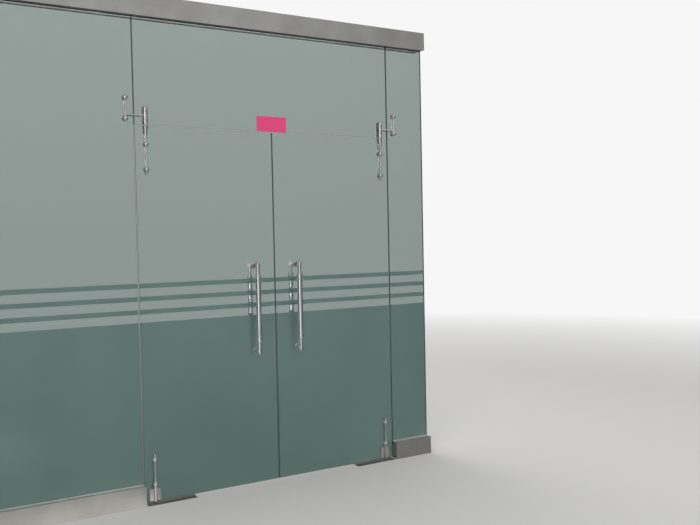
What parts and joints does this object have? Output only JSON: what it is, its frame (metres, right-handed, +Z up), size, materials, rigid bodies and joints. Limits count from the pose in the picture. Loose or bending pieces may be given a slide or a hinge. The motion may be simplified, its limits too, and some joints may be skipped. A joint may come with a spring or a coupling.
{
  "type": "double glass entrance door",
  "caption": "Frameless double-action glass entrance with clad header, transom, sidelights, plinths, bead pivot clamps, floor springs, tube pulls and frosted bands.",
  "frame": {"origin": "finished floor level, on the meeting line of the two leaves and in the middle of the glass", "axes": "+X to the right as seen from the approach side, +Y through the glass to the inside, +Z up"},
  "size_m": [2.889, 0.1738, 2.986],
  "materials": {
    "tinted_glass": "clear green-tinted toughened glass, polished faces and edges",
    "frosted_film": "frosted translucent film, grey-green through the glass",
    "satin_casing": "satin",
    "steel_tube": "primed",
    "glazing_channel": "mill finish",
    "seal_rubber": "matt",
    "silicone": "satin",
    "block_plastic": "matt",
    "nylon": "translucent white",
    "turned_steel": "turned",
    "bronze": "turned",
    "polished_steel": "mirror polished",
    "cast_body": "painted casting",
    "galvanised_sheet": "galvanised",
    "cover_steel": "worn satin",
    "sign_plastic": "glossy pink"
  },
  "bodies": {
    "frame": {"cement_boxes": "galvanised_sheet", "corner_clamp_bushes": "nylon", "corner_clamp_studs": "turned_steel", "cover_plates": "cover_steel", "cover_screws": "turned_steel", "glazing_seals": "seal_rubber", "header_casing": "satin_casing", "header_channel": "glazing_channel", "header_tube": "steel_tube", "left_corner_clamp_back": "polished_steel", "left_corner_clamp_front": "polished_steel", "left_floor_spring": "cast_body", "left_plinth_casing": "satin_casing", "left_plinth_channel": "glazing_channel", "left_plinth_tube": "steel_tube", "left_sidelight_film": "frosted_film", "left_sidelight_glass": "tinted_glass", "right_corner_clamp_back": "polished_steel", "right_corner_clamp_front": "polished_steel", "right_floor_spring": "cast_body", "right_plinth_casing": "satin_casing", "right_plinth_channel": "glazing_channel", "right_plinth_tube": "steel_tube", "right_sidelight_film": "frosted_film", "right_sidelight_glass": "tinted_glass", "setting_blocks": "block_plastic", "sign_plate": "sign_plastic", "silicone_joints": "silicone", "top_pivot_pins": "turned_steel", "transom_glass": "tinted_glass"},
    "left_leaf": {"left_leaf_bottom_clamp_back": "polished_steel", "left_leaf_bottom_clamp_front": "polished_steel", "left_leaf_bushes": "nylon", "left_leaf_clamp_studs": "turned_steel", "left_leaf_film": "frosted_film", "left_leaf_glass": "tinted_glass", "left_leaf_pivot_bush": "bronze", "left_leaf_pull_back": "polished_steel", "left_leaf_pull_front": "polished_steel", "left_leaf_pull_posts": "polished_steel", "left_leaf_pull_studs": "turned_steel", "left_leaf_shoe": "polished_steel", "left_leaf_spindle": "turned_steel", "left_leaf_top_clamp_back": "polished_steel", "left_leaf_top_clamp_front": "polished_steel"},
    "right_leaf": {"right_leaf_bottom_clamp_back": "polished_steel", "right_leaf_bottom_clamp_front": "polished_steel", "right_leaf_bushes": "nylon", "right_leaf_clamp_studs": "turned_steel", "right_leaf_film": "frosted_film", "right_leaf_glass": "tinted_glass", "right_leaf_pivot_bush": "bronze", "right_leaf_pull_back": "polished_steel", "right_leaf_pull_front": "polished_steel", "right_leaf_pull_posts": "polished_steel", "right_leaf_pull_studs": "turned_steel", "right_leaf_shoe": "polished_steel", "right_leaf_spindle": "turned_steel", "right_leaf_top_clamp_back": "polished_steel", "right_leaf_top_clamp_front": "polished_steel"}
  },
  "joints": [
    {"name": "left_leaf_swing", "type": "hinge", "parent": "frame", "child": "left_leaf", "pos_m": [-0.801, 0, 0], "axis": [0, 0, 1], "range_deg": [-90, 90], "stiffness_Nm_per_rad": 15},
    {"name": "right_leaf_swing", "type": "hinge", "parent": "frame", "child": "right_leaf", "pos_m": [0.801, 0, 0], "axis": [0, 0, 1], "range_deg": [-90, 90], "stiffness_Nm_per_rad": 15}
  ]
}
